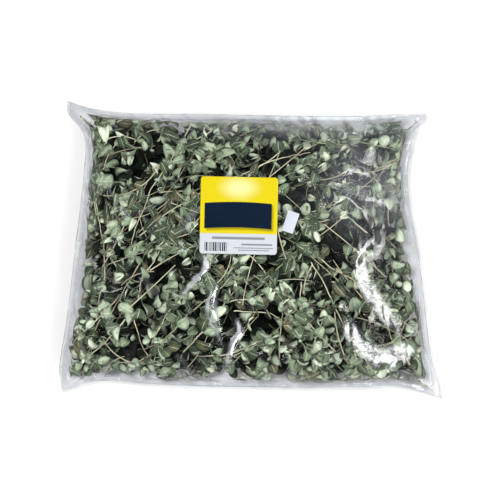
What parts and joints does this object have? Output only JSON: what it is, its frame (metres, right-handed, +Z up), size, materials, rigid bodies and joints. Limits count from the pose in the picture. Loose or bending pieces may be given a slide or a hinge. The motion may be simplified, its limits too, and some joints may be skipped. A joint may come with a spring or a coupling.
{
  "type": "clear pouch of cut oregano sprigs",
  "caption": "Pillow-shaped clear film pouch lying flat, packed with leafy cut oregano stems, with a square paper label and a small blank sticker on its front.",
  "frame": {"origin": "on the surface that the pouch lies on, under the middle of its outline", "axes": "+X along the long side, +Y towards the label's top edge, +Z up through the front film"},
  "size_m": [0.3826, 0.299, 0.0668],
  "materials": {
    "film": "thin clear polyethylene film, glossy, creased",
    "label_paper": "coated paper, yellow above and white below, with a plain navy panel",
    "sticker_paper": "plain white paper",
    "oregano_leaf": "matt grey-green leaves with pale ribs, and straw-coloured stems"
  },
  "bodies": {
    "root": {"blank_sticker": "sticker_paper", "film_back": "film", "film_front": "film", "label": "label_paper", "sprig_back_01": "oregano_leaf", "sprig_back_02": "oregano_leaf", "sprig_back_03": "oregano_leaf", "sprig_back_04": "oregano_leaf", "sprig_back_05": "oregano_leaf", "sprig_back_06": "oregano_leaf", "sprig_back_07": "oregano_leaf", "sprig_back_08": "oregano_leaf", "sprig_back_09": "oregano_leaf", "sprig_back_10": "oregano_leaf", "sprig_back_11": "oregano_leaf", "sprig_back_12": "oregano_leaf", "sprig_front_01": "oregano_leaf", "sprig_front_02": "oregano_leaf", "sprig_front_03": "oregano_leaf", "sprig_front_04": "oregano_leaf", "sprig_front_05": "oregano_leaf", "sprig_front_06": "oregano_leaf", "sprig_front_07": "oregano_leaf", "sprig_front_08": "oregano_leaf", "sprig_front_09": "oregano_leaf", "sprig_front_10": "oregano_leaf", "sprig_front_11": "oregano_leaf", "sprig_front_12": "oregano_leaf", "sprig_front_13": "oregano_leaf", "sprig_front_14": "oregano_leaf", "sprig_front_15": "oregano_leaf", "sprig_front_16": "oregano_leaf", "sprig_front_17": "oregano_leaf", "sprig_front_18": "oregano_leaf", "sprig_front_19": "oregano_leaf", "sprig_front_20": "oregano_leaf"}
  },
  "joints": []
}
